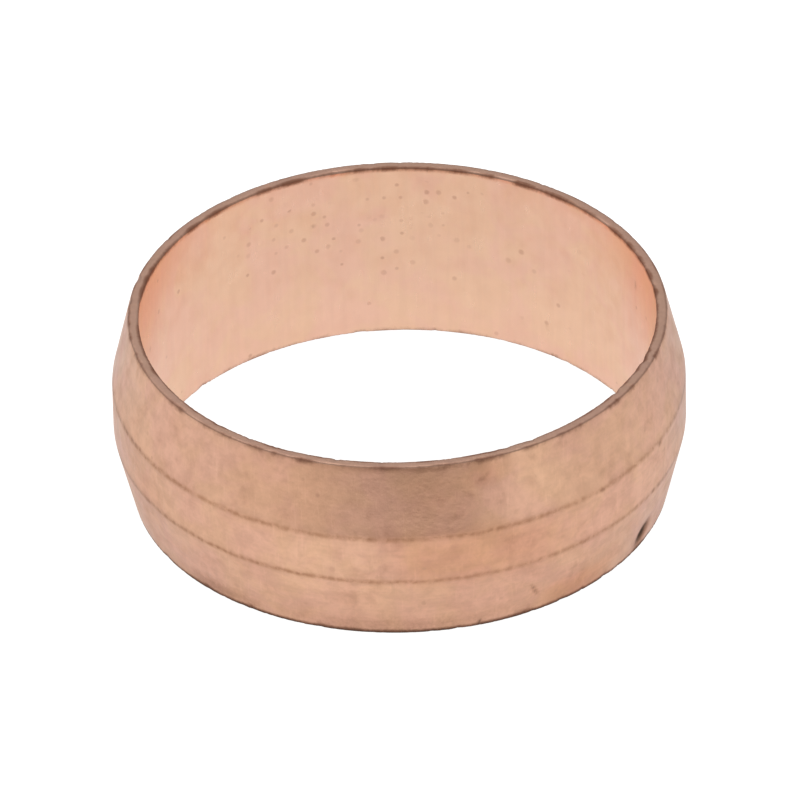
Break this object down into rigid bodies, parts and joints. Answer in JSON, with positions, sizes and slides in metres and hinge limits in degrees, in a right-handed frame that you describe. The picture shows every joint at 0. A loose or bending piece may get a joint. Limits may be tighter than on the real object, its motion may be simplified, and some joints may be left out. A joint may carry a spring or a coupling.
{
  "type": "compression olive",
  "caption": "Plain copper compression ring with a straight bore, a flat crown band and a cone down to a thin end face on each side.",
  "frame": {"origin": "on the bore axis, in the plane of the lower end face, so the ring stands on z = 0", "axes": "+Z runs along the bore, from the lower end face to the upper one; the ring is the same all the way round Z, so X and Y have no landmark"},
  "size_m": [0.0246, 0.0246, 0.0086],
  "materials": {
    "copper": "bare tumbled copper, satin outside and brighter in the bore"
  },
  "bodies": {
    "root": {"olive": "copper"}
  },
  "joints": []
}
